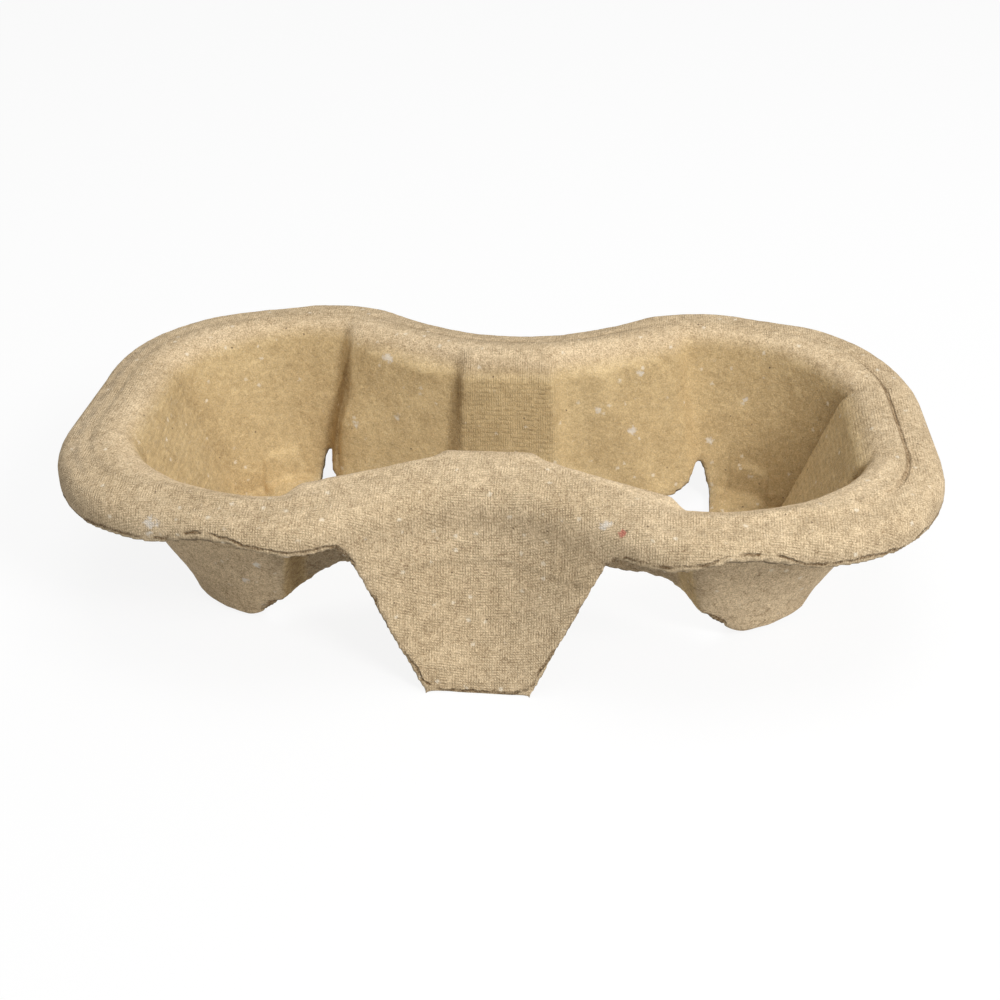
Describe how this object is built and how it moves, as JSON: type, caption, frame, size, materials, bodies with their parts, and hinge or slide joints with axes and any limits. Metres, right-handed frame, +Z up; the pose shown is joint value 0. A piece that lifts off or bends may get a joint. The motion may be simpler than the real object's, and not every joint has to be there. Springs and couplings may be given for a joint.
{
  "type": "moulded pulp cup carrier",
  "caption": "Moulded paper-pulp cup carrier: a thin one-piece sheet with a rolled rim, tapered cup wells on slotted petal feet and a flared leg on each long side.",
  "frame": {"origin": "on the table, under the middle of the carrier", "axes": "+Z up, +X along the length through both cup wells, -Y towards the side seen in front"},
  "size_m": [0.215, 0.112, 0.05],
  "materials": {
    "pulp": "matte, fibrous kraft pulp"
  },
  "bodies": {
    "root": {"pulp_carrier": "pulp"}
  },
  "joints": []
}
